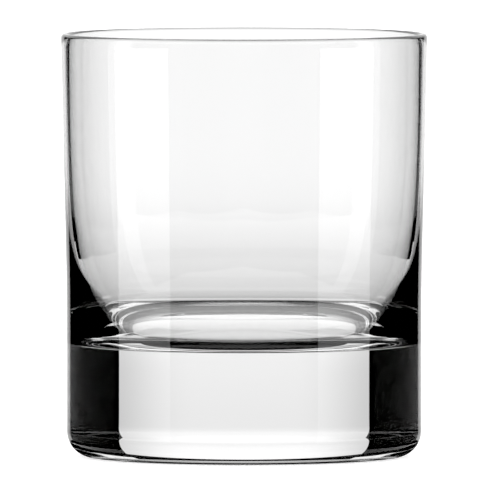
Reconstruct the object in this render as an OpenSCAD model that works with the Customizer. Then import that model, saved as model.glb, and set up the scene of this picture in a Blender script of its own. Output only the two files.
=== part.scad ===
// Heavy-based whiskey tumbler, pressed and fire-polished from one gob of clear glass.
// Origin: centre of the resting plane, on the axis of revolution. +Z points up through the mouth.

/* [Outside] */
// Height from the table to the top of the rim
height = 98; // [88:0.5:108]
// Outside diameter of the straight lower wall
foot_d = 82.1; // [76:0.1:90]
// Height where the straight lower wall bends into the flare
flare_z = 38; // [25:1:50]
// Slope of the flared upper wall from vertical, in degrees
flare_angle = 1.3; // [0.5:0.1:3]
// Radius that blends the straight wall into the flare
flare_blend_r = 600; // [200:50:800]
// Thickness of the wall at the rim, whose lip is a full round of this width
rim_t = 1.75; // [1.4:0.05:3]

/* [Base] */
// Radius of the rounded heel between the resting ring and the wall
heel_r = 6; // [3:0.5:9]
// Width of the ring that the glass rests on
ring_w = 1.6; // [1:0.1:4]
// Depth of the shallow hollow inside the resting ring
punt_h = 0.6; // [0.2:0.1:1.5]

/* [Cavity] */
// Height of the cavity floor, which is the thickness of the solid base
floor_z = 25.5; // [12:0.5:34]
// Radius of the round corner between the cavity floor and the wall
corner_r = 7.5; // [4:0.5:10]
// Thickness that the wall would gain by the height of the floor
wall_gain = 8.9; // [5:0.1:11]
// Height over which that gain fades to about a third
wall_fade = 15; // [10:0.5:18]

/* [Smoothness] */
// Degrees between neighbouring points of a rounded corner
corner_step = 9; // [3:1:15]
// Distance between neighbouring points of the cavity wall
wall_step = 2.5; // [1:0.5:5]

/* [Hidden] */
$fn = 180;

foot_r = foot_d / 2;
ring_outer_r = foot_r - heel_r;
ring_inner_r = ring_outer_r - ring_w;
lip_r = rim_t / 2;
lip_z = height - lip_r;

// Points of an arc about [r, z] from angle a to angle b, 0 degrees pointing outwards.
function arc(centre, radius, a, b, steps) =
    [for (i = [0 : steps]) let (t = a + (b - a) * i / steps)
        [centre[0] + radius * cos(t), centre[1] + radius * sin(t)]];

function steps_for(degrees) = max(2, ceil(abs(degrees) / corner_step));

// The flare's blend is an arc that leaves the straight wall tangentially.
blend_start_z = flare_z - flare_blend_r * tan(flare_angle / 2);
flare_run = lip_z - flare_z;
rim_outer_r = foot_r + flare_run * tan(flare_angle) + lip_r / cos(flare_angle) - lip_r;
mouth_r = rim_outer_r - rim_t;

// The cavity wall closes in exponentially towards the floor, as the glass settles.
function cavity_r(z) = mouth_r - wall_gain * exp((floor_z - z) / wall_fade);
function cavity_tilt(z) = atan(wall_gain / wall_fade * exp((floor_z - z) / wall_fade));

// Height where the round corner meets the cavity wall tangentially, by repeated substitution.
function corner_top(z, rounds) = rounds == 0 ? z
    : corner_top(floor_z + corner_r * (1 - sin(cavity_tilt(z))), rounds - 1);
corner_z = corner_top(floor_z + corner_r, 12);
corner_tilt = cavity_tilt(corner_z);
corner_centre = [cavity_r(corner_z) - corner_r * cos(corner_tilt), floor_z + corner_r];

// The hollow under the base is a spherical cap.
punt_r = (ring_inner_r * ring_inner_r + punt_h * punt_h) / (2 * punt_h);
punt_angle = asin(ring_inner_r / punt_r);

wall_top = lip_z - 1;
wall_points = ceil((wall_top - corner_z) / wall_step);

profile = concat(
    // hollow under the base, then the resting ring
    [for (i = [0 : 6]) let (t = punt_angle * i / 6)
        [punt_r * sin(t), punt_h - punt_r * (1 - cos(t))]],
    // heel
    arc([ring_outer_r, heel_r], heel_r, -90, 0, steps_for(90)),
    // blend from the straight wall into the flare
    arc([foot_r + flare_blend_r, blend_start_z], flare_blend_r, 180, 180 - flare_angle, 4),
    // full round of the lip, from the flared outside over to the cavity
    arc([rim_outer_r - lip_r, lip_z], lip_r, -flare_angle, 180, steps_for(180)),
    // cavity wall, downwards
    [for (i = [0 : wall_points]) let (z = wall_top + (corner_z - wall_top) * i / wall_points)
        [cavity_r(z), z]],
    // round corner at the foot of the cavity wall, then the flat floor
    [for (i = [1 : steps_for(90 - corner_tilt)])
        let (t = -corner_tilt - (90 - corner_tilt) * i / steps_for(90 - corner_tilt))
        [corner_centre[0] + corner_r * cos(t), corner_centre[1] + corner_r * sin(t)]],
    [[0, floor_z]]
);

// The whole glass, a single solid of revolution.
module tumbler() {
    color([0.93, 0.96, 0.96, 0.35])
        rotate_extrude() polygon(profile);
}

tumbler();
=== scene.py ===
# Looks for the whiskey tumbler: one piece of clear glass in a bright-field studio.
import math

import bmesh
import bpy
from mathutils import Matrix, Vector


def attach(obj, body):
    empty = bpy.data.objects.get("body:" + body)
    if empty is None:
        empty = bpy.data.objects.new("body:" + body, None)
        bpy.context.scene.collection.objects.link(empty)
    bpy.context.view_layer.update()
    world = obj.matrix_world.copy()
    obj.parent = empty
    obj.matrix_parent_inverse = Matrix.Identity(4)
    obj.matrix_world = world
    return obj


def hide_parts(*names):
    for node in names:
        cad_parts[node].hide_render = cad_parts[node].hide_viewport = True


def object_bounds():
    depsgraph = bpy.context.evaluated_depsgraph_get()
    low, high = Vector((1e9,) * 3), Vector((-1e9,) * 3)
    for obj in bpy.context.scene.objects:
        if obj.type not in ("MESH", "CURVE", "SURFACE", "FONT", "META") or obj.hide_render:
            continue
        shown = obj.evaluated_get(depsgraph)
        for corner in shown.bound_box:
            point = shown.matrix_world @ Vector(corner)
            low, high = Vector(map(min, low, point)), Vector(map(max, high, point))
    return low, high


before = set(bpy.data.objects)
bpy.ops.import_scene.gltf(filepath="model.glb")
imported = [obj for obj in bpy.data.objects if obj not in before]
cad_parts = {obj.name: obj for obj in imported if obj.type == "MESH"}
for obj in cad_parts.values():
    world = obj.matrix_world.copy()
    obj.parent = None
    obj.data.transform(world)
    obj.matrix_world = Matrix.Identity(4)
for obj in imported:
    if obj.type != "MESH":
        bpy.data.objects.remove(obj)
cad_lo, cad_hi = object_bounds()

# ---------------------------------------------------------------- glass, metres
HEIGHT = cad_hi.z
FOOT_R = 0.04105          # straight lower wall
HEEL_R = 0.006
FLARE_Z = 0.038           # height where the straight wall bends into the flare
FLARE = math.radians(1.3)
FLARE_BLEND_R = 0.6
RIM_T = 0.00175
RING_W = 0.0016           # ring that the glass rests on
PUNT_H = 0.0006           # hollow inside that ring
FLOOR_Z = 0.0255          # cavity floor
CORNER_R = 0.0075         # round corner at the foot of the cavity wall
WALL_GAIN = 0.0089        # thickness that the wall would gain by the height of the floor
WALL_FADE = 0.015         # height over which that gain fades to about a third

SEGMENTS = 320            # around the axis
ARC_STEPS = 24            # hollow, heel and cavity corner
LIP_STEPS = 20
BLEND_STEPS = 8
SIDE_STEPS = 10           # straight lower wall
FLARE_STEPS = 24
WALL_STEPS = 60           # cavity wall
FLOOR_STEPS = 12
CORNER_ROUNDS = 20        # of repeated substitution, for the height of the cavity corner
LIP_GAP = 0.001           # between the lip's arc and the first point of the cavity wall

LIP_R = RIM_T / 2
LIP_Z = HEIGHT - LIP_R
RIM_R = FOOT_R + (LIP_Z - FLARE_Z) * math.tan(FLARE) + LIP_R / math.cos(FLARE) - LIP_R
MOUTH_R = RIM_R - RIM_T


def arc(cr, cz, radius, start, end, steps):
    """Points (r, z) of an arc; 0 degrees points outwards and 90 points up."""
    angles = [math.radians(start + (end - start) * i / steps) for i in range(steps + 1)]
    return [(cr + radius * math.cos(a), cz + radius * math.sin(a)) for a in angles]


def line(a, b, steps):
    """Points between a and b, without the two ends."""
    return [(a[0] + (b[0] - a[0]) * i / steps, a[1] + (b[1] - a[1]) * i / steps)
            for i in range(1, steps)]


def cavity_r(z):
    """Radius of the cavity, which closes in exponentially towards its floor."""
    return MOUTH_R - WALL_GAIN * math.exp((FLOOR_Z - z) / WALL_FADE)


def cavity_tilt(z):
    """Slope of the cavity wall from vertical, in degrees."""
    return math.degrees(math.atan(WALL_GAIN / WALL_FADE * math.exp((FLOOR_Z - z) / WALL_FADE)))


def outside():
    """Outline (r, z) from the axis under the base, up the outside and over the lip."""
    ring_out = FOOT_R - HEEL_R
    ring_in = ring_out - RING_W
    punt_r = (ring_in ** 2 + PUNT_H ** 2) / (2 * PUNT_H)
    punt = math.degrees(math.asin(ring_in / punt_r))
    under = arc(0, PUNT_H - punt_r, punt_r, 90, 90 - punt, ARC_STEPS)
    heel = arc(ring_out, HEEL_R, HEEL_R, -90, 0, ARC_STEPS)
    flare = math.degrees(FLARE)
    blend_z = FLARE_Z - FLARE_BLEND_R * math.tan(FLARE / 2)
    blend = arc(FOOT_R + FLARE_BLEND_R, blend_z, FLARE_BLEND_R, 180, 180 - flare, BLEND_STEPS)
    lip = arc(RIM_R - LIP_R, LIP_Z, LIP_R, -flare, 180, LIP_STEPS)
    side = line(heel[-1], blend[0], SIDE_STEPS)
    return under + heel + side + blend + line(blend[-1], lip[0], FLARE_STEPS) + lip


def cavity():
    """Outline (r, z) down the cavity wall, round its corner and along its floor to the axis."""
    corner_z = FLOOR_Z + CORNER_R
    for _ in range(CORNER_ROUNDS):
        corner_z = FLOOR_Z + CORNER_R * (1 - math.sin(math.radians(cavity_tilt(corner_z))))
    tilt = cavity_tilt(corner_z)
    corner_cr = cavity_r(corner_z) - CORNER_R * math.cos(math.radians(tilt))
    top = LIP_Z - LIP_GAP
    heights = [top + (corner_z - top) * i / WALL_STEPS for i in range(WALL_STEPS + 1)]
    wall = [(cavity_r(z), z) for z in heights]
    corner = arc(corner_cr, FLOOR_Z + CORNER_R, CORNER_R, -tilt, -90, ARC_STEPS)
    centre = (0, FLOOR_Z)
    return wall + corner[1:] + line(corner[-1], centre, FLOOR_STEPS) + [centre]


def lathe(name, profile, segments):
    """Spins an open profile that starts and ends on the axis into a closed mesh."""
    bm = bmesh.new()
    turns = [2 * math.pi * i / segments for i in range(segments)]
    rings = []
    for r, z in profile:
        if r < 1e-9:
            rings.append([bm.verts.new((0, 0, z))])
            continue
        rings.append([bm.verts.new((r * math.cos(a), r * math.sin(a), z)) for a in turns])
    for low, high in zip(rings, rings[1:]):
        for i in range(segments):
            j = (i + 1) % segments
            if len(low) == 1:
                bm.faces.new((low[0], high[j], high[i]))
            elif len(high) == 1:
                bm.faces.new((low[i], low[j], high[0]))
            else:
                bm.faces.new((low[i], low[j], high[j], high[i]))
    bmesh.ops.recalc_face_normals(bm, faces=bm.faces)
    for face in bm.faces:
        face.smooth = True
    mesh = bpy.data.meshes.new(name)
    bm.to_mesh(mesh)
    bm.free()
    piece = bpy.data.objects.new(name, mesh)
    bpy.context.collection.objects.link(piece)
    return piece


# ---------------------------------------------------------------- glass material
GLASS_IOR = 1.5
GLASS_TINT = (0.9, 0.9, 0.9, 1)
GLASS_DENSITY = 2         # per metre, so the base takes under 2 % off over its width
WAVE_SCALE = 45           # waves per metre of the fire-polished skin
WAVE_DEPTH = 0.000015     # metres


def clear_glass():
    """Clear glass with a faint grey tint in depth and a slightly wavy skin."""
    material = bpy.data.materials.new("clear_glass")
    material.use_nodes = True
    nodes, links = material.node_tree.nodes, material.node_tree.links
    shader = nodes["Principled BSDF"]
    shader.inputs["Base Color"].default_value = (1, 1, 1, 1)
    shader.inputs["Roughness"].default_value = 0
    shader.inputs["IOR"].default_value = GLASS_IOR
    shader.inputs["Transmission Weight"].default_value = 1
    tint = nodes.new("ShaderNodeVolumeAbsorption")
    tint.inputs["Color"].default_value = GLASS_TINT
    tint.inputs["Density"].default_value = GLASS_DENSITY
    links.new(tint.outputs[0], nodes["Material Output"].inputs["Volume"])

    where = nodes.new("ShaderNodeTexCoord")
    wave = nodes.new("ShaderNodeTexNoise")
    wave.inputs["Scale"].default_value = WAVE_SCALE
    wave.inputs["Detail"].default_value = 1
    ripple = nodes.new("ShaderNodeBump")
    ripple.inputs["Strength"].default_value = 1
    ripple.inputs["Distance"].default_value = WAVE_DEPTH
    links.new(where.outputs["Object"], wave.inputs["Vector"])
    links.new(wave.outputs[0], ripple.inputs["Height"])
    links.new(ripple.outputs[0], shader.inputs["Normal"])
    return material


tumbler = lathe("tumbler_glass", outside() + cavity(), SEGMENTS)
tumbler.data.materials.append(clear_glass())
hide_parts("tumbler")
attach(tumbler, "root")

# ---------------------------------------------------------------- camera
VIEW_WIDTH = 0.1134       # width of the view at the glass
SENSOR_MM = 36
CAMERA_DISTANCE = 4.2
CAMERA_ELEVATION = math.radians(2.65)
CLIP_START, CLIP_END = 0.5, 20
AIM = Vector((0.0002, 0, 0.0490))


def make_camera():
    """Long lens a little above the level of the table."""
    data = bpy.data.cameras.new("camera")
    data.sensor_width = SENSOR_MM
    data.lens = SENSOR_MM * CAMERA_DISTANCE / VIEW_WIDTH
    data.clip_start = CLIP_START
    data.clip_end = CLIP_END
    camera = bpy.data.objects.new("camera", data)
    back = Vector((0, -math.cos(CAMERA_ELEVATION), math.sin(CAMERA_ELEVATION)))
    camera.location = AIM + CAMERA_DISTANCE * back
    camera.rotation_euler = (-back).to_track_quat("-Z", "Y").to_euler()
    bpy.context.collection.objects.link(camera)
    bpy.context.scene.camera = camera


make_camera()

# ---------------------------------------------------------------- studio
# Strengths are radiances. Bearings are in degrees off the back (+Y), the same on both sides.
# The camera sees only the surround and the floor; the cards act on light in the glass.
SKY = 1.15                # white surround above the horizon
GROUND_FALL = 0.70        # how much darker the surround is straight down

FLOOR_R = 3.0
FLOOR_WHITE = (0.95, 0.95, 0.95, 1)
FLOOR_GLOW = 0.5
SHADE_R, SHADE_Z = 0.085, -0.06
# Painted contact shade: dark ring around the foot, seen only through and in the glass
CONTACT_SHADE_IN, CONTACT_SHADE_OUT, CONTACT_SHADE_Z = 0.0345, 0.056, -0.001
DISC_SIDES = 96

# Lit panel behind the glass, and the dark card above it
PANEL_X, PANEL_Y = 0.189, 0.341
PANEL_BOTTOM, PANEL_TOP, TOP_EDGE = -0.25, 0.17, 0.60
PANEL_WHITE = 1.11
SIDE_NEAR, SIDE_FAR, SIDE_LEVEL = 0.05, 0.20, 0.69      # falls off sideways
PANEL_LOW, PANEL_HIGH, PANEL_LEVEL = -0.25, 0.03, 0.42  # falls off downwards
STEP_LOW, STEP_HIGH, STEP_LEVEL = -0.02, 0.06, 0.885    # is dimmer behind the base

# Black cards seen through the glass: bar beside the panel, wings, and front
BAR_BEARING, BAR_RUN = 40, 0.39
BAR_LOW, BAR_HIGH = -0.05, 0.14
WING_BEARINGS, WING_R = (28, 55, 83), 1.0
WING_LOW, WING_HIGH = -0.30, 0.60
FRONT_BEARINGS, FRONT_R = (98, 135, 180), 1.5
FRONT_LOW, FRONT_HIGH = -0.25, 0.70

# Lit table top mirrored in the sides of the glass, between two black cards
TABLE_BACK, BACK_EDGE = 90.5, (0.029, -0.029)           # bearing and plan point where it starts
TABLE_FRONT, FRONT_EDGE = 130.9, (0.017, -0.038)        # bearing and plan point where it ends
TABLE_START, TABLE_END = 0.06, 2.2
TABLE_FADE = (0.42, 0.62)
TABLE_NEAR, TABLE_LEVEL = 0.9, 2.1
END_HIGH = 0.5
MIRROR_LOW, MIRROR_HIGH = -0.15, 0.15
BACK_RUN, FRONT_RUN = 0.31, 0.45
FRONT_MEET = (0, -0.5)


def surround():
    """White surround: level above the horizon and darker towards the nadir."""
    world = bpy.data.worlds.new("studio")
    world.use_nodes = True
    nodes, links = world.node_tree.nodes, world.node_tree.links
    where = nodes.new("ShaderNodeTexCoord")
    split = nodes.new("ShaderNodeSeparateXYZ")
    below = nodes.new("ShaderNodeMath")
    below.operation = "MINIMUM"
    below.inputs[1].default_value = 0
    fall = nodes.new("ShaderNodeMath")
    fall.operation = "MULTIPLY_ADD"
    fall.inputs[1].default_value = GROUND_FALL
    fall.inputs[2].default_value = SKY
    links.new(where.outputs["Generated"], split.inputs[0])
    links.new(split.outputs["Z"], below.inputs[0])
    links.new(below.outputs[0], fall.inputs[0])
    links.new(fall.outputs[0], nodes["Background"].inputs["Strength"])
    nodes["Background"].inputs["Color"].default_value = (1, 1, 1, 1)
    bpy.context.scene.world = world


def glow(name, strength):
    """Plain emission, or black for a strength of 0."""
    material = bpy.data.materials.new(name)
    material.use_nodes = True
    nodes, links = material.node_tree.nodes, material.node_tree.links
    nodes.clear()
    out = nodes.new("ShaderNodeOutputMaterial")
    emit = nodes.new("ShaderNodeEmission")
    emit.inputs["Strength"].default_value = strength
    links.new(emit.outputs[0], out.inputs["Surface"])
    return material


def ramp(nodes, links, source, start, end, low, high):
    """Smooth step of a socket from low to high between start and end."""
    step = nodes.new("ShaderNodeMapRange")
    step.interpolation_type = "SMOOTHSTEP"
    step.inputs["From Min"].default_value = start
    step.inputs["From Max"].default_value = end
    step.inputs["To Min"].default_value = low
    step.inputs["To Max"].default_value = high
    links.new(source, step.inputs["Value"])
    return step.outputs["Result"]


def product(nodes, links, a, b):
    """Product of two sockets."""
    node = nodes.new("ShaderNodeMath")
    node.operation = "MULTIPLY"
    links.new(a, node.inputs[0])
    links.new(b, node.inputs[1])
    return node.outputs[0]


def panel_glow():
    """White panel, brightest behind the glass and falling off sideways and at its foot."""
    material = glow("panel_glow", SKY)
    nodes, links = material.node_tree.nodes, material.node_tree.links
    where = nodes.new("ShaderNodeNewGeometry")
    split = nodes.new("ShaderNodeSeparateXYZ")
    size = nodes.new("ShaderNodeMath")
    size.operation = "ABSOLUTE"
    links.new(where.outputs["Position"], split.inputs[0])
    links.new(split.outputs["X"], size.inputs[0])
    across = ramp(nodes, links, size.outputs[0], SIDE_NEAR, SIDE_FAR, PANEL_WHITE,
                  PANEL_WHITE * SIDE_LEVEL)
    down = ramp(nodes, links, split.outputs["Z"], PANEL_LOW, PANEL_HIGH, PANEL_LEVEL, 1)
    down.node.interpolation_type = "LINEAR"
    step = ramp(nodes, links, split.outputs["Z"], STEP_LOW, STEP_HIGH, STEP_LEVEL, 1)
    both = product(nodes, links, down, step)
    links.new(product(nodes, links, across, both), nodes["Emission"].inputs["Strength"])
    return material


def table_glow():
    """Lit table top that fades out near the glass."""
    material = glow("table_glow", 1)
    nodes, links = material.node_tree.nodes, material.node_tree.links
    where = nodes.new("ShaderNodeNewGeometry")
    away = nodes.new("ShaderNodeVectorMath")
    away.operation = "LENGTH"
    links.new(where.outputs["Position"], away.inputs[0])
    fade = ramp(nodes, links, away.outputs["Value"], *TABLE_FADE, TABLE_NEAR, TABLE_LEVEL)
    links.new(fade, nodes["Emission"].inputs["Strength"])
    return material


def stage_mesh(name, points, faces, material):
    """Studio piece from points and faces."""
    mesh = bpy.data.meshes.new(name)
    mesh.from_pydata(points, [], faces)
    mesh.materials.append(material)
    piece = bpy.data.objects.new(name, mesh)
    bpy.context.collection.objects.link(piece)
    return piece


def limit(piece, seen_by):
    """Leaves a studio piece to light seen through the glass, light mirrored by it, or both."""
    piece.visible_camera = False
    piece.visible_diffuse = False
    piece.visible_shadow = False
    piece.visible_transmission = "through" in seen_by
    piece.visible_glossy = "mirror" in seen_by


def card(name, a, b, low, high, material, seen_by):
    """Upright card from plan point a to plan point b."""
    corners = [(*a, low), (*b, low), (*b, high), (*a, high)]
    limit(stage_mesh(name, corners, [(0, 1, 2, 3)], material), seen_by)


def circle(radius, z):
    turns = [2 * math.pi * i / DISC_SIDES for i in range(DISC_SIDES)]
    return [(radius * math.cos(a), radius * math.sin(a), z) for a in turns]


def floor():
    """Pale floor."""
    material = bpy.data.materials.new("pale_floor")
    material.use_nodes = True
    shader = material.node_tree.nodes["Principled BSDF"]
    shader.inputs["Base Color"].default_value = FLOOR_WHITE
    shader.inputs["Roughness"].default_value = 1
    shader.inputs["Specular IOR Level"].default_value = 0
    shader.inputs["Emission Color"].default_value = (1, 1, 1, 1)
    shader.inputs["Emission Strength"].default_value = FLOOR_GLOW
    piece = stage_mesh("floor", circle(FLOOR_R, 0), [range(DISC_SIDES)], material)
    piece.visible_transmission = False
    piece.visible_glossy = False


def shade():
    """Dark disc under the base: light that leaves the glass downwards finds none coming up."""
    rim = circle(SHADE_R, SHADE_Z)
    limit(stage_mesh("shade", rim, [range(DISC_SIDES)], glow("shade", 0)), "through mirror")


def contact_shade(black):
    """Dark ring around the foot, where glass and table nearly touch: painted contact shade,
    seen only through and in the glass.
    """
    points = circle(CONTACT_SHADE_IN, CONTACT_SHADE_Z) + circle(CONTACT_SHADE_OUT, CONTACT_SHADE_Z)
    pairs = [(i, (i + 1) % DISC_SIDES) for i in range(DISC_SIDES)]
    faces = [(i, j, DISC_SIDES + j, DISC_SIDES + i) for i, j in pairs]
    limit(stage_mesh("contact_shade", points, faces, black), "through mirror")


def out_along(start, bearing, run, side):
    """Plan point at a run from start along a bearing, on the side -1 or 1."""
    turn = math.radians(bearing)
    return (side * (start[0] + run * math.sin(turn)), start[1] + run * math.cos(turn))


def ring(name, bearings, radius, low, high, material, side):
    """Row of upright cards around the glass, one from each bearing to the next."""
    for a, b in zip(bearings, bearings[1:]):
        start = out_along((0, 0), a, radius, side)
        end = out_along((0, 0), b, radius, side)
        card(name, start, end, low, high, material, "through")


def backdrop(black):
    """Lit panel behind the glass with a dark card above it."""
    left, right = (-PANEL_X, PANEL_Y), (PANEL_X, PANEL_Y)
    card("back_panel", left, right, PANEL_BOTTOM, PANEL_TOP, panel_glow(), "through mirror")
    card("dark_top", left, right, PANEL_TOP, TOP_EDGE, black, "through")


def dark_side(black, side):
    """Black cards that give clear glass its dark edges."""
    corner = (side * PANEL_X, PANEL_Y)
    end = out_along((0, 0), BAR_BEARING, BAR_RUN, side)
    card("black_bar", corner, end, BAR_LOW, BAR_HIGH, black, "through")
    ring("black_wing", WING_BEARINGS, WING_R, WING_LOW, WING_HIGH, black, side)
    ring("dark_front", FRONT_BEARINGS, FRONT_R, FRONT_LOW, FRONT_HIGH, black, side)


def mirrored_table(black, table, side):
    """Lit sector of the table that the side of the glass mirrors as an upright strip."""
    corner = (side * PANEL_X, PANEL_Y)
    back_end = out_along(BACK_EDGE, TABLE_BACK, BACK_RUN, side)
    card("mirror_wing", corner, back_end, MIRROR_LOW, MIRROR_HIGH, black, "mirror")
    near_back = out_along(BACK_EDGE, TABLE_BACK, TABLE_START, side)
    near_front = out_along(FRONT_EDGE, TABLE_FRONT, TABLE_START, side)
    far_back = out_along(BACK_EDGE, TABLE_BACK, TABLE_END, side)
    far_front = out_along(FRONT_EDGE, TABLE_FRONT, TABLE_END, side)
    corners = [(*point, 0) for point in (near_back, near_front, far_front, far_back)]
    limit(stage_mesh("lit_table", corners, [(0, 1, 2, 3)], table), "mirror")
    card("black_end", far_back, far_front, 0, END_HIGH, black, "mirror")
    front_end = out_along(FRONT_EDGE, TABLE_FRONT, FRONT_RUN, side)
    card("mirror_front", front_end, FRONT_MEET, MIRROR_LOW, MIRROR_HIGH, black, "mirror")


def studio():
    surround()
    floor()
    shade()
    black = glow("black_flag", 0)
    backdrop(black)
    contact_shade(black)
    table = table_glow()
    for side in (-1, 1):
        dark_side(black, side)
        mirrored_table(black, table, side)
    bpy.context.scene.view_settings.view_transform = "Standard"


studio()
